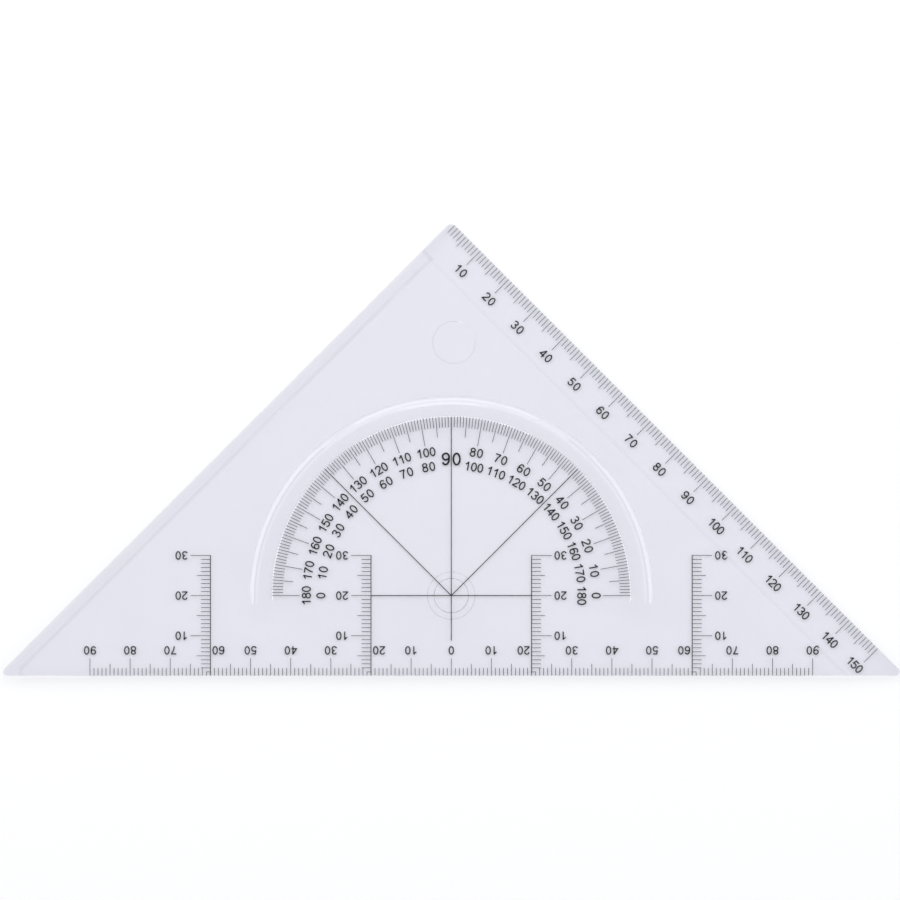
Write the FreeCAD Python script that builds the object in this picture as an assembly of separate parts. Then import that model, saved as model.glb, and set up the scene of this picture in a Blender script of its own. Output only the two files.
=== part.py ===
# A 45 degree set square: one clear moulded plate, with its printed scales and protractor.
#
# Frame: millimetres, +Z up. The plate lies flat on its printed underside at z = 0, its long edge
# faces -Y and runs along X, and its right-angled corner, the apex, points to +Y.
# The origin is the middle of the plate's outline, on the underside.
#
# The shapes are drawn from the middle of the long edge, and moved to that origin when they are
# written. Each edge of the plate has a frame of its own: s runs along the edge and v inwards.

import FreeCAD, Part
import math
import os

from FreeCAD import Vector

# Plate
LEG_LENGTH = 160.0
PLATE_THICKNESS = 2.0
TIP_RADIUS = 1.0
APEX_RADIUS = 1.5
EDGE_DRAFT = 0.15

# Ruling edge: the top of the right leg falls in a short ramp, then in a long bevel
BEVEL_WIDTH = 9.7
BEVEL_RAMP_WIDTH = 1.0
BEVEL_RAMP_DROP = 0.3
RULING_EDGE_THICKNESS = 1.1

# Inking edge: a cove under the left leg, which keeps a pen's ink off the paper below
INKING_WIDTH = 2.5
INKING_RAMP_WIDTH = 0.9
INKING_DEPTH = 0.6
INKING_TIP_SETBACK = 6.35
INKING_FLARE = 0.6

# Finger ridge over the outer ends of the protractor's marks, and the scoop inside it
RIDGE_OVERLAP = 0.2
RIDGE_INNER_DRAFT = 0.23
RIDGE_WIDTH = 5.8
RIDGE_ROUND_WIDTH = 2.9
RIDGE_ROUND_STEPS = 7
RIDGE_HEIGHT = 1.4
RIDGE_BELOW_CENTRE = 0.5
RIDGE_END_BELOW_CENTRE = 1.9
RIDGE_CORNER_RADIUS = 0.9
SCOOP_WIDTH = 6.3
SCOOP_DEPTH = 0.6
SCOOP_RIM_DEPTH = 0.2
SCOOP_CORNER_RADIUS = 1.2

# Round dish at the protractor's centre: a step, a flat shoulder, a wall and a bowl
DISH_RADIUS = 5.95
DISH_STEP_DEPTH = 0.3
DISH_SHOULDER_WIDTH = 1.6
DISH_WALL_DEPTH = 0.5
DISH_BOWL_DEPTH = 0.15
DISH_DRAFT = 0.2

# Shallow round recess near the apex, with the stub of the moulding gate in it
GATE_BELOW_APEX = 30.1
GATE_OFFSET = 0.65
GATE_RECESS_RADIUS = 5.3
GATE_RECESS_DEPTH = 0.25
GATE_RECESS_EDGE = 0.05
GATE_STUB_RADIUS = 0.45
GATE_STUB_HEIGHT = 0.15

# Print: flush marks in a shallow relief of the underside
PRINT_DEPTH = 0.05
PRINT_MARGIN = 0.3
TICK_WIDTH = 0.13
LINE_WIDTH = 0.2
PITCH = 1.0
MAJOR_EVERY = 10
MIDDLE_EVERY = 5
NUMERAL_HEIGHT = 2.2
NUMERAL_GAP = 0.7
TWO_DIGIT_WIDTH = 3.4
THREE_DIGIT_WIDTH = 4.5

# Scale lengths: every millimetre, every fifth and every tenth
BASE_TICKS = (1.95, 3.0, 4.4)
LEG_TICKS = (2.6, 3.45, 4.95)
UPRIGHT_TICKS = (2.35, 3.4, 4.95)
LEG_SCALE_ZERO = 0.3
UPRIGHT_INNER = 20
UPRIGHT_OUTER = 60

# Protractor, one mark a degree: its centre is level with this graduation of the upright scales
PROTRACTOR_LEVEL = 20
PROTRACTOR_RADIUS = 44.7
PROTRACTOR_TICKS = (2.8, 5.2, 6.95)
CENTRE_LINE_FOOT = 8.8
LONG_LINE_ANGLES = (45, 90, 135)

# Worked out from the sizes above
SQRT2 = math.sqrt(2.0)
HALF_BASE = LEG_LENGTH / SQRT2
PLATE_TOP_Y = HALF_BASE - (SQRT2 - 1.0) * APEX_RADIUS
ORIGIN_SHIFT = Vector(0, -PLATE_TOP_Y / 2.0, 0)
UP = Vector(0, 0, 1)
OVER = 1.0

LEFT_LEG = (Vector(0, HALF_BASE, 0), 225.0)
RIGHT_LEG = (Vector(HALF_BASE, 0, 0), 135.0)

PROTRACTOR_HEIGHT = PROTRACTOR_LEVEL * PITCH
PROTRACTOR_CENTRE = Vector(0, PROTRACTOR_HEIGHT, 0)
RIDGE_INNER_RADIUS = PROTRACTOR_RADIUS - RIDGE_OVERLAP
RIDGE_OUTER_RADIUS = RIDGE_INNER_RADIUS + RIDGE_WIDTH
RIDGE_CENTRE = PROTRACTOR_CENTRE - Vector(0, RIDGE_BELOW_CENTRE, 0)
RIDGE_END_Y = PROTRACTOR_HEIGHT - RIDGE_END_BELOW_CENTRE
BEVEL_TOTAL = BEVEL_WIDTH + BEVEL_RAMP_WIDTH
INKING_FOOT = INKING_WIDTH + INKING_RAMP_WIDTH

# The scales stop at the last ten whose numeral still has room on the plate
BASE_ZONE = BASE_TICKS[2] + NUMERAL_GAP + NUMERAL_HEIGHT + PRINT_MARGIN
LEG_ZONE = LEG_TICKS[2] + NUMERAL_GAP + NUMERAL_HEIGHT + PRINT_MARGIN
UPRIGHT_ZONE = UPRIGHT_TICKS[2] + NUMERAL_GAP + TWO_DIGIT_WIDTH + PRINT_MARGIN
INKING_REACH = INKING_FOOT * SQRT2 + PRINT_MARGIN
BASE_ROOM = HALF_BASE - BASE_ZONE - INKING_REACH - TWO_DIGIT_WIDTH / 2.0
BASE_LAST = MAJOR_EVERY * int(BASE_ROOM / PITCH / MAJOR_EVERY)
LEG_ROOM = LEG_LENGTH - LEG_SCALE_ZERO - LEG_ZONE
LEG_LAST = MAJOR_EVERY * int(LEG_ROOM / PITCH / MAJOR_EVERY)
UPRIGHT_ROOM = HALF_BASE - UPRIGHT_OUTER * PITCH - UPRIGHT_ZONE - INKING_REACH - NUMERAL_HEIGHT / 2.0
UPRIGHT_LAST = MAJOR_EVERY * int(UPRIGHT_ROOM / PITCH / MAJOR_EVERY)


def on_edge(shape, edge):
    """Move a shape from an edge's own frame (s along, v inwards) to the plate."""
    start, angle = edge
    placed = shape.copy()
    placed.rotate(Vector(0, 0, 0), UP, angle)
    placed.translate(start)
    return placed


def box(x0, x1, y0, y1, z0, z1):
    """A box between two corners."""
    return Part.makeBox(x1 - x0, y1 - y0, z1 - z0, Vector(x0, y0, z0))


def prism(points, height):
    """A straight-sided solid on a closed polygon."""
    face = Part.Face(Part.makePolygon(points + [points[0]]))
    return face.extrude(height)


def rounded_polygon(corners):
    """A closed wire through corners given as (point, radius), each one an arc tangent to its sides."""
    edges = []
    arcs = []
    for i, (corner, radius) in enumerate(corners):
        before = (corners[i - 1][0] - corner).normalize()
        after = (corners[(i + 1) % len(corners)][0] - corner).normalize()
        half = before.getAngle(after) / 2.0
        reach = radius / math.tan(half)
        middle = (before + after).normalize() * (radius / math.sin(half) - radius)
        arcs.append((corner + before * reach, corner + middle, corner + after * reach))
    for i, arc in enumerate(arcs):
        edges.append(Part.Arc(*arc).toShape())
        edges.append(Part.LineSegment(arc[2], arcs[(i + 1) % len(arcs)][0]).toShape())
    return Part.Wire(edges)


def plate_outline(inset):
    """The set square's outline, moved in: two acute tips on the long edge, and the right-angled apex."""
    tip = HALF_BASE - inset * (1.0 + SQRT2)
    return rounded_polygon([
        (Vector(-tip, inset, 0), TIP_RADIUS - inset),
        (Vector(tip, inset, 0), TIP_RADIUS - inset),
        (Vector(0, HALF_BASE - inset * SQRT2, 0), APEX_RADIUS - inset),
    ])


def blank():
    """The flat plate, whose edges lean in towards the top as the mould asks."""
    top = plate_outline(EDGE_DRAFT)
    top.translate(UP * PLATE_THICKNESS)
    return Part.makeLoft([plate_outline(0.0), top], True, True)


def ruling_bevel():
    """What the bevel and its ramp take off the top of the right leg."""
    bevel_top = PLATE_THICKNESS - BEVEL_RAMP_DROP
    slope = (bevel_top - RULING_EDGE_THICKNESS) / BEVEL_WIDTH
    above = PLATE_THICKNESS + OVER
    profile = [
        Vector(-OVER, -OVER, RULING_EDGE_THICKNESS - slope * OVER),
        Vector(-OVER, BEVEL_WIDTH, bevel_top),
        Vector(-OVER, BEVEL_TOTAL, PLATE_THICKNESS),
        Vector(-OVER, BEVEL_TOTAL, above),
        Vector(-OVER, -OVER, above),
    ]
    return on_edge(prism(profile, Vector(LEG_LENGTH + 2 * OVER, 0, 0)), RIGHT_LEG)


def inking_plan(inset, height):
    """The inking edge's outline on the left leg, moved in from its foot, at a height."""
    start = BEVEL_WIDTH + inset
    width = INKING_FOOT - inset
    # It opens at 45 degrees to the leg's edge, where s - v is constant
    mouth = BEVEL_WIDTH - INKING_FLARE + inset * SQRT2
    # Near the tip it turns square to the long edge, where s - v is constant too
    tip_line = LEG_LENGTH - INKING_TIP_SETBACK * SQRT2 + inset * SQRT2
    outside = LEG_LENGTH + 2 * OVER
    corners = [
        Vector(mouth, -OVER, height),
        Vector(mouth, 0, height),
        Vector(start, start - mouth, height),
        Vector(start, width, height),
        Vector(tip_line + width, width, height),
        Vector((outside + tip_line) / 2.0, (outside - tip_line) / 2.0, height),
        Vector(outside + OVER, -OVER, height),
    ]
    return Part.makePolygon(corners + [corners[0]])


def inking_cove():
    """What the inking edge takes off the underside of the left leg, from the bevel's crease to the tip."""
    ramp = Part.makeLoft([inking_plan(0.0, 0.0), inking_plan(INKING_RAMP_WIDTH, INKING_DEPTH)], True, True)
    below = Part.Face(inking_plan(0.0, -OVER)).extrude(UP * OVER)
    return on_edge(ramp.fuse(below), LEFT_LEG)


def half_ring(outer_centre, outer_radius, inner_radius, z0, z1):
    """A half ring round the protractor, cut square where the ridge ends."""
    arcs = []
    for centre, radius in ((outer_centre, outer_radius), (PROTRACTOR_CENTRE, inner_radius)):
        drop = RIDGE_END_Y - centre.y
        half_chord = math.sqrt(radius ** 2 - drop ** 2)
        arcs.append([
            centre + Vector(half_chord, drop, z0),
            centre + Vector(0, radius, z0),
            centre + Vector(-half_chord, drop, z0),
        ])
    outer, inner = arcs
    wire = Part.Wire([
        Part.Arc(*outer).toShape(),
        Part.LineSegment(outer[2], inner[2]).toShape(),
        Part.Arc(*reversed(inner)).toShape(),
        Part.LineSegment(inner[0], outer[0]).toShape(),
    ])
    return Part.Face(wire).extrude(UP * (z1 - z0))


def vertical_edges(shape, radius_from, radius_to):
    """The vertical edges whose distance from the protractor's centre lies between two radii."""
    found = []
    for edge in shape.Edges:
        a, b = edge.Vertexes[0].Point, edge.Vertexes[-1].Point
        flat = (Vector(a.x, a.y, 0) - PROTRACTOR_CENTRE).Length
        vertical = abs(a.x - b.x) + abs(a.y - b.y) < 1e-6 and abs(a.z - b.z) > 1e-6
        if vertical and radius_from < flat < radius_to:
            found.append(edge)
    return found


def turned(profile, centre):
    """A closed profile of (radius, height) turned about a vertical axis."""
    points = [centre + Vector(r, 0, z) for r, z in profile]
    face = Part.Face(Part.makePolygon(points + [points[0]]))
    return face.revolve(centre, UP, 360)


def finger_ridge():
    """The raised half ring: a steep inner wall, a flat crest and a rounded outer side, with blunt ends."""
    root = PLATE_THICKNESS - SCOOP_DEPTH
    crest = PLATE_THICKNESS + RIDGE_HEIGHT
    crest_outer = RIDGE_OUTER_RADIUS - RIDGE_ROUND_WIDTH
    profile = [(0, root), (RIDGE_OUTER_RADIUS, root)]
    for step in range(RIDGE_ROUND_STEPS + 1):
        rise = math.radians(90.0 * step / RIDGE_ROUND_STEPS)
        radius = crest_outer + RIDGE_ROUND_WIDTH * math.cos(rise)
        profile.append((radius, PLATE_THICKNESS + RIDGE_HEIGHT * math.sin(rise)))
    profile.append((0, crest))
    dome = turned(profile, RIDGE_CENTRE)
    plan = half_ring(RIDGE_CENTRE, RIDGE_OUTER_RADIUS, RIDGE_INNER_RADIUS, root, crest)
    plan = plan.makeFillet(RIDGE_CORNER_RADIUS, vertical_edges(plan, 0, math.inf))
    inside = Part.makeCone(
        RIDGE_INNER_RADIUS, RIDGE_INNER_RADIUS + RIDGE_INNER_DRAFT, crest - root, PROTRACTOR_CENTRE + UP * root
    )
    return dome.common(plan).cut(inside)


def finger_scoop():
    """What the scoop takes off the top inside the ridge: its floor falls towards the ridge's wall."""
    inner = RIDGE_INNER_RADIUS - SCOOP_WIDTH
    above = PLATE_THICKNESS + OVER
    floor = turned([
        (inner, PLATE_THICKNESS - SCOOP_RIM_DEPTH),
        (RIDGE_INNER_RADIUS, PLATE_THICKNESS - SCOOP_DEPTH),
        (RIDGE_INNER_RADIUS, above),
        (inner, above),
    ], PROTRACTOR_CENTRE)
    plan = half_ring(PROTRACTOR_CENTRE, RIDGE_INNER_RADIUS, inner, PLATE_THICKNESS - SCOOP_DEPTH, above)
    middle = (inner + RIDGE_INNER_RADIUS) / 2.0
    plan = plan.makeFillet(SCOOP_CORNER_RADIUS, vertical_edges(plan, 0, middle))
    return floor.common(plan)


def centre_dish():
    """What the dish takes off the top round the protractor's centre."""
    above = PLATE_THICKNESS + OVER
    shoulder = PLATE_THICKNESS - DISH_STEP_DEPTH
    foot = shoulder - DISH_WALL_DEPTH
    wall_radius = DISH_RADIUS - DISH_SHOULDER_WIDTH
    foot_radius = wall_radius - DISH_WALL_DEPTH * DISH_DRAFT
    dish = turned([
        (0, foot),
        (foot_radius, foot),
        (wall_radius, shoulder),
        (DISH_RADIUS - DISH_STEP_DEPTH * DISH_DRAFT, shoulder),
        (DISH_RADIUS, PLATE_THICKNESS),
        (DISH_RADIUS, above),
        (0, above),
    ], Vector(0, 0, 0))
    sphere_radius = (foot_radius ** 2 + DISH_BOWL_DEPTH ** 2) / (2.0 * DISH_BOWL_DEPTH)
    ball = Part.makeSphere(sphere_radius, Vector(0, 0, foot - DISH_BOWL_DEPTH + sphere_radius))
    dish = dish.fuse(ball.common(Part.makeCylinder(foot_radius, above)))
    dish.translate(PROTRACTOR_CENTRE)
    return dish


def gate_centre():
    """The middle of the recess where the plastic entered the mould."""
    return Vector(GATE_OFFSET, HALF_BASE - GATE_BELOW_APEX, 0)


def gate_recess():
    """What the gate's recess takes off the top: a shallow disc with a sloping rim."""
    floor = PLATE_THICKNESS - GATE_RECESS_DEPTH
    rim = Part.makeCone(
        GATE_RECESS_RADIUS - GATE_RECESS_EDGE, GATE_RECESS_RADIUS, GATE_RECESS_DEPTH, Vector(0, 0, floor)
    )
    clear = Part.makeCylinder(GATE_RECESS_RADIUS, OVER, Vector(0, 0, PLATE_THICKNESS))
    recess = rim.fuse(clear)
    stub = Part.makeCylinder(GATE_STUB_RADIUS, GATE_STUB_HEIGHT, Vector(0, 0, floor))
    recess = recess.cut(stub)
    recess.translate(gate_centre())
    return recess


def print_relief():
    """The shallow relief of the underside that the print lies in, one zone for each scale."""
    zones = [base_zone(), leg_zone(), protractor_zone(), centre_line_zone()]
    for x in upright_positions():
        zones.append(upright_zone(x))
    relief = zones[0].multiFuse(zones[1:]).removeSplitter()
    return relief


def base_zone():
    """Relief of the long edge's scale and numerals, open at that edge."""
    reach = BASE_LAST * PITCH + TWO_DIGIT_WIDTH / 2.0 + PRINT_MARGIN
    return box(-reach, reach, -OVER, BASE_ZONE, -OVER, PRINT_DEPTH)


def leg_zone():
    """Relief of the right leg's scale and numerals, open at that leg."""
    start = LEG_LENGTH - LEG_SCALE_ZERO - LEG_LAST * PITCH - THREE_DIGIT_WIDTH / 2.0 + PITCH
    zone = box(start, LEG_LENGTH + OVER, -OVER, LEG_ZONE, -OVER, PRINT_DEPTH)
    return on_edge(zone, RIGHT_LEG)


def protractor_zone():
    """Relief of the whole protractor: a disc cut off below the numerals at 0 and 180 degrees."""
    radius = PROTRACTOR_RADIUS + PRINT_MARGIN / 2.0
    centre = Vector(0, PROTRACTOR_HEIGHT, -OVER)
    disc = Part.makeCylinder(radius, OVER + PRINT_DEPTH, centre)
    floor = PROTRACTOR_HEIGHT - THREE_DIGIT_WIDTH / 2.0 - PRINT_MARGIN
    return disc.common(box(-radius, radius, floor, floor + 2 * radius, -OVER, PRINT_DEPTH))


def centre_line_zone():
    """Relief of the foot of the 90 degree line, down to the long edge's scale."""
    half = LINE_WIDTH / 2.0 + PRINT_MARGIN
    return box(-half, half, 0, PROTRACTOR_HEIGHT, -OVER, PRINT_DEPTH)


def upright_positions():
    """Where the four upright scales stand on the long edge, from left to right."""
    return (-UPRIGHT_OUTER, -UPRIGHT_INNER, UPRIGHT_INNER, UPRIGHT_OUTER)


def upright_zone(x):
    """Relief of one upright scale and its numerals, which lie away from the middle of the plate."""
    side = math.copysign(1.0, x)
    near = x * PITCH - side * (LINE_WIDTH / 2.0 + PRINT_MARGIN)
    far = x * PITCH + side * UPRIGHT_ZONE
    top = UPRIGHT_LAST * PITCH + NUMERAL_HEIGHT / 2.0 + PRINT_MARGIN
    return box(min(near, far), max(near, far), 0, top, -OVER, PRINT_DEPTH)


def plate():
    """The clear moulded plate."""
    body = blank().fuse(finger_ridge())
    for cut in (ruling_bevel(), inking_cove(), finger_scoop(), centre_dish(), gate_recess(), print_relief()):
        body = body.cut(cut)
    return body.removeSplitter()


def mark(start, end, width):
    """A flat printed line from one point to another."""
    along = end - start
    bar = Part.makeBox(along.Length, width, PRINT_DEPTH, Vector(0, -width / 2.0, 0))
    bar.rotate(Vector(0, 0, 0), UP, math.degrees(math.atan2(along.y, along.x)))
    bar.translate(start)
    return bar


def tick_length(number, lengths):
    """How long a graduation is: the tens are the longest, then the fives."""
    minor, middle, major = lengths
    if number % MAJOR_EVERY == 0:
        return major
    if number % MIDDLE_EVERY == 0:
        return middle
    return minor


def base_scale():
    """Graduations of the long edge, both ways from its middle, broken where the upright scales stand."""
    feet = upright_positions()
    beside_feet = [x + int(math.copysign(1, x)) for x in feet]
    marks = []
    for number in range(-BASE_LAST, BASE_LAST + 1):
        length = tick_length(number, BASE_TICKS)
        if number in feet:
            continue
        if number in beside_feet:
            length = PITCH - TICK_WIDTH / 2.0
        foot = Vector(number * PITCH, 0, 0)
        marks.append(mark(foot, foot + Vector(0, length, 0), TICK_WIDTH))
    return Part.makeCompound(marks)


def upright_scale(x):
    """One upright scale: a line square to the long edge, with graduations on its outer side."""
    side = math.copysign(1.0, x)
    spine_x = x * PITCH
    half_line = LINE_WIDTH / 2.0
    half_tick = TICK_WIDTH / 2.0
    top = UPRIGHT_LAST * PITCH + half_tick
    outline = [Vector(spine_x - side * half_line, 0, 0), Vector(spine_x + side * half_line, 0, 0)]
    for number in range(1, UPRIGHT_LAST + 1):
        reach = tick_length(number, UPRIGHT_TICKS)
        if number == 1:
            reach = PITCH + half_tick
        elif number * PITCH < BASE_TICKS[0]:
            reach = number * PITCH - half_tick
        low = number * PITCH - half_tick
        high = number * PITCH + half_tick
        outline.append(Vector(spine_x + side * half_line, low, 0))
        outline.append(Vector(spine_x + side * reach, low, 0))
        outline.append(Vector(spine_x + side * reach, high, 0))
        if number < UPRIGHT_LAST:
            outline.append(Vector(spine_x + side * half_line, high, 0))
    outline.append(Vector(spine_x - side * half_line, top, 0))
    return prism(outline, UP * PRINT_DEPTH)


def apex_clearance(s):
    """How far the rounded apex has cut back the right leg's edge, at a distance from the left leg."""
    if s >= APEX_RADIUS:
        return 0.0
    return APEX_RADIUS - math.sqrt(APEX_RADIUS ** 2 - (APEX_RADIUS - s) ** 2)


def leg_scale():
    """Graduations of the right leg, which count from the apex: the first is at one."""
    marks = []
    for number in range(1, LEG_LAST + 1):
        from_apex = LEG_SCALE_ZERO + number * PITCH
        start = apex_clearance(from_apex - TICK_WIDTH / 2.0)
        s = LEG_LENGTH - from_apex
        marks.append(mark(Vector(s, start, 0), Vector(s, tick_length(number, LEG_TICKS), 0), TICK_WIDTH))
    return on_edge(Part.makeCompound(marks), RIGHT_LEG)


def at_angle(degrees, radius):
    """A point at an angle and a radius from the protractor's centre."""
    angle = math.radians(degrees)
    return Vector(radius * math.cos(angle), PROTRACTOR_HEIGHT + radius * math.sin(angle), 0)


def protractor_scale():
    """The protractor's graduations, one a degree, but for those that the long lines stand for."""
    marks = []
    for degrees in range(0, 181):
        if degrees in LONG_LINE_ANGLES:
            continue
        inner = PROTRACTOR_RADIUS - tick_length(degrees, PROTRACTOR_TICKS)
        marks.append(mark(at_angle(degrees, inner), at_angle(degrees, PROTRACTOR_RADIUS), TICK_WIDTH))
    return Part.makeCompound(marks)


def angle_lines():
    """The long lines through the protractor's centre: 45, 90 and 135 degrees and the base line."""
    centre = at_angle(0, 0)
    inner_spine = UPRIGHT_INNER * PITCH - LINE_WIDTH / 2.0
    lines = [mark(centre - Vector(inner_spine, 0, 0), centre + Vector(inner_spine, 0, 0), LINE_WIDTH)]
    for degrees in LONG_LINE_ANGLES:
        lines.append(mark(centre, at_angle(degrees, PROTRACTOR_RADIUS), LINE_WIDTH))
    lines.append(mark(Vector(0, CENTRE_LINE_FOOT, 0), centre, LINE_WIDTH))
    return lines[0].multiFuse(lines[1:]).removeSplitter()


def write(name, shape):
    """Write one sub-part's STEP file, moved to the part's origin."""
    placed = shape.copy()
    placed.translate(ORIGIN_SHIFT)
    placed.exportStep(os.path.join("parts", name + ".step"))


os.makedirs("parts", exist_ok=True)
write("plate", plate())
write("base_scale", base_scale())
write("leg_scale", leg_scale())
write("protractor_scale", protractor_scale())
write("angle_lines", angle_lines())
for place, x in zip(("left_outer", "left_inner", "right_inner", "right_outer"), upright_positions()):
    write("upright_scale_" + place, upright_scale(x))
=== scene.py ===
# The looks of a clear 45 degree set square: moulded plastic, matte print and its numerals.
#
# The frame is the CAD model's, in metres: the plate lies on z = 0, its long edge faces -Y, and the
# camera looks down on it. Sizes below are in millimetres, as on the scales, unless they say metres.

import math

import bmesh
import bpy
from mathutils import Matrix, Vector


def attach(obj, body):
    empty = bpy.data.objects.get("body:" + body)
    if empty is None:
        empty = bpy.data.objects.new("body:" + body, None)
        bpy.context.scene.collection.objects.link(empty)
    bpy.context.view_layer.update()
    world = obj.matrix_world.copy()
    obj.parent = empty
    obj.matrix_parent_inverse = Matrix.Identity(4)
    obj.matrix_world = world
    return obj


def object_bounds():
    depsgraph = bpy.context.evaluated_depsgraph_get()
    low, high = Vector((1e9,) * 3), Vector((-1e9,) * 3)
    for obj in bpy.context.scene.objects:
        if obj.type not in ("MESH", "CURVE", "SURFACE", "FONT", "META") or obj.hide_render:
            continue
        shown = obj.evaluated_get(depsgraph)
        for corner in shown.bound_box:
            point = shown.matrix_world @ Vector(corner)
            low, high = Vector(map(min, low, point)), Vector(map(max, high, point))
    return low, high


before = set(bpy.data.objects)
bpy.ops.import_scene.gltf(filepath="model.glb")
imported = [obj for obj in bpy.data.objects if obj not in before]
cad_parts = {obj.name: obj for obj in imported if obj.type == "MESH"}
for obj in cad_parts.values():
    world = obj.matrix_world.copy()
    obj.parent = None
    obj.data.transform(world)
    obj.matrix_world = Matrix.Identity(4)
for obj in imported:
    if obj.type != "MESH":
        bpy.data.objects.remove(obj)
cad_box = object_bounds()

MM = 0.001

# Camera: straight above the plate, with a long lens
CAMERA_DISTANCE = 2500.0
VIEW_WIDTH = 224.23
VIEW_CENTRE = (-0.32, 0.0)
SENSOR = 36.0

# Digits, drawn one unit high: the width of a stroke and of a digit, the middle about which a six turns
# into a nine, and the degrees between the points of an arc
STROKE = 0.145
DIGIT_WIDTH = 0.77
SIX_MIDDLE = 0.383
ARC_STEP = 12

# Numerals: heights, and how far apart the digits of numbers with two and three digits stand
FIGURE_HEIGHT = 2.05
LEG_FIGURE_HEIGHT = 2.15
ANGLE_FIGURE_HEIGHT = 2.2
RIGHT_ANGLE_HEIGHT = 3.1
FIGURE_PITCH = {2: 1.64}
LEG_PITCH = {2: 1.8, 3: 1.52}
ANGLE_PITCH = {2: 1.8, 3: 1.62}
RIGHT_ANGLE_PITCH = {2: 2.66}
PRINT_THICKNESS = 0.05

# How far the middles of the numerals lie from what they count. Where a numeral would meet something, it
# moves: along the long edge beside an upright scale, and up the leg at its end
BASE_FIGURES_AT = 6.35
LEG_FIGURES_AT = 7.0
UPRIGHT_FIGURES_AT = 7.2
OUTER_FIGURES_RADIUS = 36.1
INNER_FIGURES_RADIUS = 32.5
RIGHT_ANGLE_RADIUS = 34.0
BESIDE_UPRIGHT = 2.0
LAST_LEG_FIGURE_BACK = 1.2

# The scales, as the CAD model draws them
BASE_LAST = 90
LEG_LAST = 150
UPRIGHT_LAST = 30
UPRIGHTS_AT = (-60, -20, 20, 60)
STEP = 10
LEG_LENGTH = 160.0
LEG_ZERO = 0.3
PROTRACTOR_LEVEL = 20.0
RIGHT_ANGLE = 90
HALF_TURN = 180
LONG_EDGE_Y = cad_box[0].y / MM

# Nearly all of a noise texture's values lie between these
NOISE_LOW = 0.3
NOISE_HIGH = 0.7

# Clear plastic: flow marks and scuffs give features in a metre and their detail, the bump's height is
# in metres, and the tint runs between two shades along the flow marks
PLASTIC_IOR = 1.59
FLOW_MARKS = (60, 3)
FLOW_BUMP = 0.15
FLOW_HEIGHT = 0.0002
FLOW_TINTS = (
    (NOISE_LOW, (0.899, 0.9, 0.946)),
    (NOISE_HIGH, (0.915, 0.916, 0.957)),
)
SCUFFS = (900, 5)
SCUFF_ROUGHNESS = (0.01, 0.05)

# What is left of light's colour at a surface, by the upright part of the surface's normal: 0 on a wall
# and 1 where it lies level. The first is for light to and from the floor. The second is painted shade
# on what is seen, darker on walls and on a band of gentle slopes
SLOPE_PASSES = (
    (0.3, (0.7, 0.7, 0.74)),
    (0.8, (0.955, 0.957, 0.98)),
)
# Painted shade: walls and a band of gentle slopes are drawn darker than level faces
SLOPE_PAINTED_SHADE = (
    (0.3, (0.8, 0.8, 0.86)),
    (0.8, (1, 1, 1)),
    (0.92, (1, 1, 1)),
    (0.945, (0.85, 0.85, 0.86)),
    (0.968, (0.85, 0.85, 0.86)),
    (0.99, (1, 1, 1)),
)

# Ink: its grain gives features in a metre and their detail
INK_GRAIN = (2500, 4)
INK_COLOURS = (
    (NOISE_LOW, (0.008, 0.008, 0.01)),
    (NOISE_HIGH, (0.025, 0.025, 0.028)),
)
INK_ROUGHNESS = (0.5, 0.7)
INK_SPECULAR = 0.3

# Floor, in metres: half its side, and how far it lies below the plate
FLOOR_HALF = 3.0
FLOOR_DROP = 0.0005
FLOOR_COLOUR = (0.86, 0.86, 0.86, 1)
FLOOR_GLOW = 0.2

# Lamps: their distance in metres, and each one's name, compass direction, height in degrees, size in
# metres and radiance
LAMP_DISTANCE = 1.2
LAMPS = (
    ("left_light", 158, 28, 1.0, 1.35),
    ("right_light", 15, 30, 1.0, 1.15),
    ("back_light", 92, 48, 1.0, 1.6),
)

# Room: the strengths of its walls, its ceiling and the opening in the ceiling, which change between
# upright parts of a direction that runs from 0 at the horizon to 1 straight up
ROOM_COLOUR = (0.97, 0.98, 1.0, 1)
WALL_STRENGTH = 0.4
CEILING_STRENGTH = 1.2
OPENING_STRENGTH = 0.15
WALL_TO_CEILING = (0.8, 0.96)
CEILING_TO_OPENING = (0.975, 0.99)


def new_material(name):
    """An empty node material and its output."""
    material = bpy.data.materials.new(name)
    material.use_nodes = True
    nodes = material.node_tree.nodes
    nodes.clear()
    return material, nodes, material.node_tree.links, nodes.new("ShaderNodeOutputMaterial")


def noise(nodes, links, coordinates, features, detail):
    """A noise texture in object space, with so many features in a metre."""
    texture = nodes.new("ShaderNodeTexNoise")
    texture.inputs["Scale"].default_value = features
    texture.inputs["Detail"].default_value = detail
    links.new(coordinates, texture.inputs["Vector"])
    return texture.outputs["Fac"]


def calculated(nodes, links, operation, *values):
    """The result of a Math node on linked values and plain numbers."""
    node = nodes.new("ShaderNodeMath")
    node.operation = operation
    for value, socket in zip(values, node.inputs):
        if isinstance(value, bpy.types.NodeSocket):
            links.new(value, socket)
        else:
            socket.default_value = value
    return node.outputs[0]


def mapped(nodes, links, value, source, target, interpolation="LINEAR"):
    """A value carried from one range to another, and held at its ends."""
    node = nodes.new("ShaderNodeMapRange")
    node.interpolation_type = interpolation
    node.inputs["From Min"].default_value = source[0]
    node.inputs["From Max"].default_value = source[1]
    node.inputs["To Min"].default_value = target[0]
    node.inputs["To Max"].default_value = target[1]
    links.new(value, node.inputs["Value"])
    return node.outputs["Result"]


def coloured(nodes, links, value, stops):
    """The colour that belongs to a value, between (value, colour) stops."""
    ramp = nodes.new("ShaderNodeValToRGB")
    elements = ramp.color_ramp.elements
    elements.remove(elements[1])
    elements[0].position = stops[0][0]
    elements[0].color = (*stops[0][1], 1)
    for position, colour in stops[1:]:
        elements.new(position).color = (*colour, 1)
    links.new(value, ramp.inputs["Fac"])
    return ramp.outputs["Color"]


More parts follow.
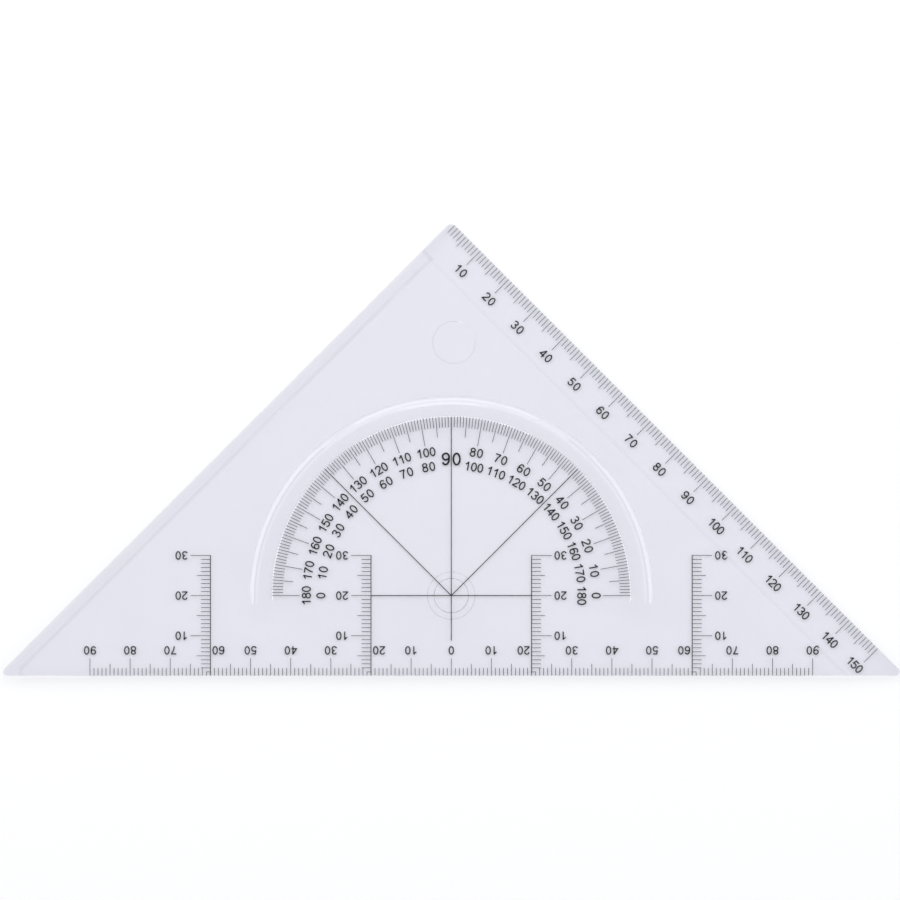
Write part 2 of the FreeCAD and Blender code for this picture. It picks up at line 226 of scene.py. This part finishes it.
def by_slope(nodes, links, stops):
    """A colour that depends on the slope, from stops on the upright part of the normal."""
    normal = nodes.new("ShaderNodeSeparateXYZ")
    links.new(nodes.new("ShaderNodeNewGeometry").outputs["True Normal"], normal.inputs[0])
    upright = calculated(nodes, links, "ABSOLUTE", normal.outputs["Z"])
    return coloured(nodes, links, upright, stops)


def clear_plastic():
    """Clear moulded polystyrene, faintly violet, with flow marks, fine scuffs and painted shade on its walls
    and gentle slopes.
    """
    material, nodes, links, output = new_material("clear_plastic")
    coordinates = nodes.new("ShaderNodeTexCoord").outputs["Object"]
    flow = noise(nodes, links, coordinates, *FLOW_MARKS)
    scuffs = noise(nodes, links, coordinates, *SCUFFS)

    plastic = nodes.new("ShaderNodeBsdfPrincipled")
    plastic.inputs["Transmission Weight"].default_value = 1.0
    plastic.inputs["IOR"].default_value = PLASTIC_IOR
    # The plastic's own colour along the flow marks, times painted shade that darkens walls and gentle slopes
    tint_and_painted_shade = nodes.new("ShaderNodeVectorMath")
    tint_and_painted_shade.operation = "MULTIPLY"
    links.new(coloured(nodes, links, flow, FLOW_TINTS), tint_and_painted_shade.inputs[0])
    links.new(by_slope(nodes, links, SLOPE_PAINTED_SHADE), tint_and_painted_shade.inputs[1])
    links.new(tint_and_painted_shade.outputs[0], plastic.inputs["Base Color"])
    roughness = mapped(nodes, links, scuffs, (NOISE_LOW, NOISE_HIGH), SCUFF_ROUGHNESS)
    links.new(roughness, plastic.inputs["Roughness"])

    bump = nodes.new("ShaderNodeBump")
    bump.inputs["Strength"].default_value = FLOW_BUMP
    bump.inputs["Distance"].default_value = FLOW_HEIGHT
    links.new(flow, bump.inputs["Height"])
    links.new(bump.outputs["Normal"], plastic.inputs["Normal"])

    # Light to and from the floor passes straight through, and loses more at a wall than at a level face
    let_through = nodes.new("ShaderNodeBsdfTransparent")
    links.new(by_slope(nodes, links, SLOPE_PASSES), let_through.inputs["Color"])
    rays = nodes.new("ShaderNodeLightPath")
    shader = plastic.outputs["BSDF"]
    for ray in ("Is Diffuse Ray", "Is Shadow Ray"):
        mix = nodes.new("ShaderNodeMixShader")
        links.new(rays.outputs[ray], mix.inputs["Fac"])
        links.new(shader, mix.inputs[1])
        links.new(let_through.outputs["BSDF"], mix.inputs[2])
        shader = mix.outputs["Shader"]
    links.new(shader, output.inputs["Surface"])
    return material


def printing_ink():
    """Matte black ink, a little uneven where it took less well."""
    material, nodes, links, output = new_material("print_ink")
    coordinates = nodes.new("ShaderNodeTexCoord").outputs["Object"]
    grain = noise(nodes, links, coordinates, *INK_GRAIN)
    ink = nodes.new("ShaderNodeBsdfPrincipled")
    links.new(coloured(nodes, links, grain, INK_COLOURS), ink.inputs["Base Color"])
    roughness = mapped(nodes, links, grain, (NOISE_LOW, NOISE_HIGH), INK_ROUGHNESS)
    links.new(roughness, ink.inputs["Roughness"])
    ink.inputs["Specular IOR Level"].default_value = INK_SPECULAR
    links.new(ink.outputs["BSDF"], output.inputs["Surface"])
    return material


def arc(x, y, across, up, start, end):
    """Points along an ellipse, from one angle to another in degrees."""
    steps = round(abs(end - start) / ARC_STEP)
    angles = [math.radians(start + (end - start) * i / steps) for i in range(steps + 1)]
    return [Vector((x + across * math.cos(a), y + up * math.sin(a))) for a in angles]


def line(*points):
    """Points of a bent line."""
    return [Vector(point) for point in points]


def digit_strokes():
    """The middle lines of each digit's strokes, on a digit one unit high."""
    six = [
        arc(0.39, 0.305, 0.262, 0.258, 0, 360),
        arc(0.42, 0.48, 0.292, 0.462, 38, 192),
    ]
    return {
        "0": [arc(0.385, 0.5, 0.262, 0.452, 0, 360)],
        "1": [
            line((0.155, 0.69), (0.25, 0.745), (0.335, 0.815), (0.44, 0.94)),
            line((0.458, 0), (0.458, 1)),
        ],
        "2": [
            arc(0.378, 0.708, 0.262, 0.244, 172, -32) + line((0.25, 0.24), (0.115, 0.06)),
            line((0.045, 0.058), (0.7, 0.058)),
        ],
        "3": [arc(0.355, 0.742, 0.232, 0.21, 165, -90), arc(0.365, 0.29, 0.268, 0.242, 100, -165)],
        "4": [line((0.515, 0), (0.515, 1)), line((0.49, 0.92), (0.09, 0.298), (0.705, 0.298))],
        "5": [line((0.66, 0.93), (0.22, 0.93), (0.135, 0.49)), arc(0.365, 0.325, 0.275, 0.278, 142, -165)],
        "6": six,
        "7": [line((0.065, 0.93), (0.685, 0.93)), line((0.635, 0.91), (0.48, 0.68), (0.36, 0.4), (0.28, 0))],
        "8": [arc(0.385, 0.752, 0.232, 0.2, 0, 360), arc(0.385, 0.29, 0.264, 0.245, 0, 360)],
        "9": [[Vector((2 * SIX_MIDDLE - x, 1 - y)) for x, y in stroke] for stroke in six],
    }


def stroke_solid(points):
    """A stroke one unit deep along a line of points, with square ends or closed on itself."""
    closed = (points[0] - points[-1]).length < STROKE / 10
    if closed:
        points = points[:-1]
    count = len(points)
    mesh = bmesh.new()
    rings = []
    for i, point in enumerate(points):
        before = points[i - 1] if closed or i > 0 else 2 * point - points[1]
        after = points[(i + 1) % count] if closed or i < count - 1 else 2 * point - points[i - 1]
        came, goes = (point - before).normalized(), (after - point).normalized()
        across = (came + goes).orthogonal().normalized()
        across *= STROKE / 2 / across.dot(came.orthogonal())
        left, right = point + across, point - across
        corners = ((left, 0), (right, 0), (right, 1), (left, 1))
        rings.append([mesh.verts.new((*side, z)) for side, z in corners])
    for i in range(count if closed else count - 1):
        ring, other = rings[i], rings[(i + 1) % count]
        for k in range(4):
            mesh.faces.new((ring[k], ring[(k + 1) % 4], other[(k + 1) % 4], other[k]))
    if not closed:
        mesh.faces.new(rings[0])
        mesh.faces.new(rings[-1])
    bmesh.ops.recalc_face_normals(mesh, faces=mesh.faces)
    solid = bpy.data.objects.new("stroke", bpy.data.meshes.new("stroke"))
    mesh.to_mesh(solid.data)
    mesh.free()
    bpy.context.scene.collection.objects.link(solid)
    return solid


def digit_mesh(strokes):
    """A digit's strokes, joined into one solid."""
    first, *others = [stroke_solid(points) for points in strokes]
    for other in others:
        join = first.modifiers.new("join", "BOOLEAN")
        join.operation = "UNION"
        join.solver = "EXACT"
        join.object = other
    evaluated = first.evaluated_get(bpy.context.evaluated_depsgraph_get())
    digit = bpy.data.meshes.new_from_object(evaluated)
    for solid in (first, *others):
        bpy.data.meshes.remove(solid.data)
    return digit


def place(x, y, turn):
    """Where a label stands: its middle on the plate, from the middle of the long edge, and its turn."""
    middle = Vector((x * MM, (LONG_EDGE_Y + y) * MM, 0))
    return Matrix.Translation(middle) @ Matrix.Rotation(math.radians(turn), 4, "Z")


def numerals(name, labels, height, pitches, digits, ink):
    """One printed piece from (text, place) labels, each label centred on its place."""
    size = Matrix.Diagonal((height * MM, height * MM, PRINT_THICKNESS * MM, 1))
    corner = Matrix.Translation((-DIGIT_WIDTH / 2, -0.5, 0))
    vertices = []
    faces = []
    for text, where in labels:
        pitch = pitches.get(len(text), 0) * MM
        for i, character in enumerate(text):
            digit = digits[character]
            along = Matrix.Translation(((i - (len(text) - 1) / 2) * pitch, 0, 0))
            move = where @ along @ size @ corner
            first = len(vertices)
            vertices += [move @ v.co for v in digit.vertices]
            faces += [[first + k for k in polygon.vertices] for polygon in digit.polygons]
    mesh = bpy.data.meshes.new(name)
    mesh.from_pydata(vertices, [], faces)
    mesh.materials.append(ink)
    piece = bpy.data.objects.new(name, mesh)
    bpy.context.scene.collection.objects.link(piece)
    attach(piece, "root")


def base_labels():
    """Numerals of the long edge, upside down, and beside the upright scales where these stand."""
    labels = []
    for number in range(-BASE_LAST, BASE_LAST + 1, STEP):
        x = number
        if number in UPRIGHTS_AT:
            x = number - math.copysign(BESIDE_UPRIGHT, number)
        labels.append((str(abs(number)), place(x, BASE_FIGURES_AT, HALF_TURN)))
    return labels


def upright_labels():
    """Numerals of the four upright scales, on their outer sides."""
    labels = []
    for upright in UPRIGHTS_AT:
        x = upright + math.copysign(UPRIGHT_FIGURES_AT, upright)
        for number in range(STEP, UPRIGHT_LAST + 1, STEP):
            labels.append((str(number), place(x, number, HALF_TURN)))
    return labels


def leg_labels():
    """Numerals of the right leg, which run down it from the apex."""
    half_base = LEG_LENGTH / math.sqrt(2)
    labels = []
    for number in range(STEP, LEG_LAST + 1, STEP):
        along = LEG_ZERO + number
        if number == LEG_LAST:
            along -= LAST_LEG_FIGURE_BACK
        x = (along - LEG_FIGURES_AT) / math.sqrt(2)
        y = half_base - (along + LEG_FIGURES_AT) / math.sqrt(2)
        labels.append((str(number), place(x, y, -RIGHT_ANGLE / 2)))
    return labels


def protractor_labels():
    """Two rings of numerals that count opposite ways, with their tops outward."""
    labels = []
    for degrees in range(0, HALF_TURN + 1, STEP):
        if degrees == RIGHT_ANGLE:
            continue
        angle = math.radians(degrees)
        for number, radius in ((degrees, OUTER_FIGURES_RADIUS), (HALF_TURN - degrees, INNER_FIGURES_RADIUS)):
            x = radius * math.cos(angle)
            y = PROTRACTOR_LEVEL + radius * math.sin(angle)
            labels.append((str(number), place(x, y, degrees - RIGHT_ANGLE)))
    return labels


def right_angle_label():
    """The large numeral between the two rings, upright on the 90 degree line."""
    return [(str(RIGHT_ANGLE), place(0, PROTRACTOR_LEVEL + RIGHT_ANGLE_RADIUS, 0))]


def dress(node, material):
    """Give a CAD node its material."""
    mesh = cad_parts[node].data
    mesh.materials.clear()
    mesh.materials.append(material)


def white_floor():
    """A pale floor that shows white to the camera and in the plastic, and keeps its shadows."""
    mesh = bpy.data.meshes.new("floor")
    corners = [(-1, -1), (1, -1), (1, 1), (-1, 1)]
    vertices = [(x * FLOOR_HALF, y * FLOOR_HALF, -FLOOR_DROP) for x, y in corners]
    mesh.from_pydata(vertices, [], [(0, 1, 2, 3)])
    floor = bpy.data.objects.new("floor", mesh)
    bpy.context.scene.collection.objects.link(floor)

    material, nodes, links, output = new_material("floor")
    paper = nodes.new("ShaderNodeBsdfDiffuse")
    paper.inputs["Color"].default_value = FLOOR_COLOUR
    rays = nodes.new("ShaderNodeLightPath").outputs
    seen = rays["Is Camera Ray"]
    for ray in ("Is Glossy Ray", "Is Transmission Ray"):
        seen = calculated(nodes, links, "MAXIMUM", seen, rays[ray])
    glow = nodes.new("ShaderNodeEmission")
    links.new(calculated(nodes, links, "MULTIPLY", seen, FLOOR_GLOW), glow.inputs["Strength"])
    both = nodes.new("ShaderNodeAddShader")
    links.new(paper.outputs["BSDF"], both.inputs[0])
    links.new(glow.outputs["Emission"], both.inputs[1])
    links.new(both.outputs["Shader"], output.inputs["Surface"])
    mesh.materials.append(material)


def soft_light(name, turn, rise, size, radiance):
    """A square lamp aimed at the plate, from a compass direction and a height in degrees."""
    across = LAMP_DISTANCE * math.cos(math.radians(rise))
    spot = Vector((
        across * math.cos(math.radians(turn)),
        across * math.sin(math.radians(turn)),
        LAMP_DISTANCE * math.sin(math.radians(rise)),
    ))
    lamp = bpy.data.lights.new(name, "AREA")
    lamp.size = size
    lamp.energy = radiance * math.pi * size ** 2
    holder = bpy.data.objects.new(name, lamp)
    holder.location = spot
    holder.rotation_euler = (-spot).to_track_quat("-Z", "Y").to_euler()
    bpy.context.scene.collection.objects.link(holder)


def room_light():
    """A pale room under a bright ceiling, with a dark opening straight above the plate."""
    world = bpy.data.worlds.new("room")
    world.use_nodes = True
    nodes, links = world.node_tree.nodes, world.node_tree.links
    direction = nodes.new("ShaderNodeSeparateXYZ")
    links.new(nodes.new("ShaderNodeTexCoord").outputs["Generated"], direction.inputs[0])
    height = direction.outputs["Z"]
    strengths = (WALL_STRENGTH, CEILING_STRENGTH)
    ceiling = mapped(nodes, links, height, WALL_TO_CEILING, strengths, "SMOOTHSTEP")
    shares = (1, OPENING_STRENGTH / CEILING_STRENGTH)
    opening = mapped(nodes, links, height, CEILING_TO_OPENING, shares, "SMOOTHSTEP")
    background = nodes["Background"]
    background.inputs["Color"].default_value = ROOM_COLOUR
    strength = calculated(nodes, links, "MULTIPLY", ceiling, opening)
    links.new(strength, background.inputs["Strength"])
    bpy.context.scene.world = world


def camera_above():
    """The photograph's view: straight down, as wide as the plate."""
    data = bpy.data.cameras.new("camera")
    data.sensor_width = SENSOR
    data.lens = SENSOR * CAMERA_DISTANCE / VIEW_WIDTH
    camera = bpy.data.objects.new("camera", data)
    camera.location = Vector((*VIEW_CENTRE, CAMERA_DISTANCE)) * MM
    bpy.context.scene.collection.objects.link(camera)
    bpy.context.scene.camera = camera


camera_above()
plastic = clear_plastic()
ink = printing_ink()
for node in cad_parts:
    dress(node, plastic if node == "plate" else ink)
digits = {character: digit_mesh(strokes) for character, strokes in digit_strokes().items()}
for name, labels, height, pitches in (
    ("base_numerals", base_labels(), FIGURE_HEIGHT, FIGURE_PITCH),
    ("upright_numerals", upright_labels(), FIGURE_HEIGHT, FIGURE_PITCH),
    ("leg_numerals", leg_labels(), LEG_FIGURE_HEIGHT, LEG_PITCH),
    ("protractor_numerals", protractor_labels(), ANGLE_FIGURE_HEIGHT, ANGLE_PITCH),
    ("right_angle_numeral", right_angle_label(), RIGHT_ANGLE_HEIGHT, RIGHT_ANGLE_PITCH),
):
    numerals(name, labels, height, pitches, digits, ink)
white_floor()
room_light()
for lamp in LAMPS:
    soft_light(*lamp)
bpy.context.scene.view_settings.view_transform = "Standard"
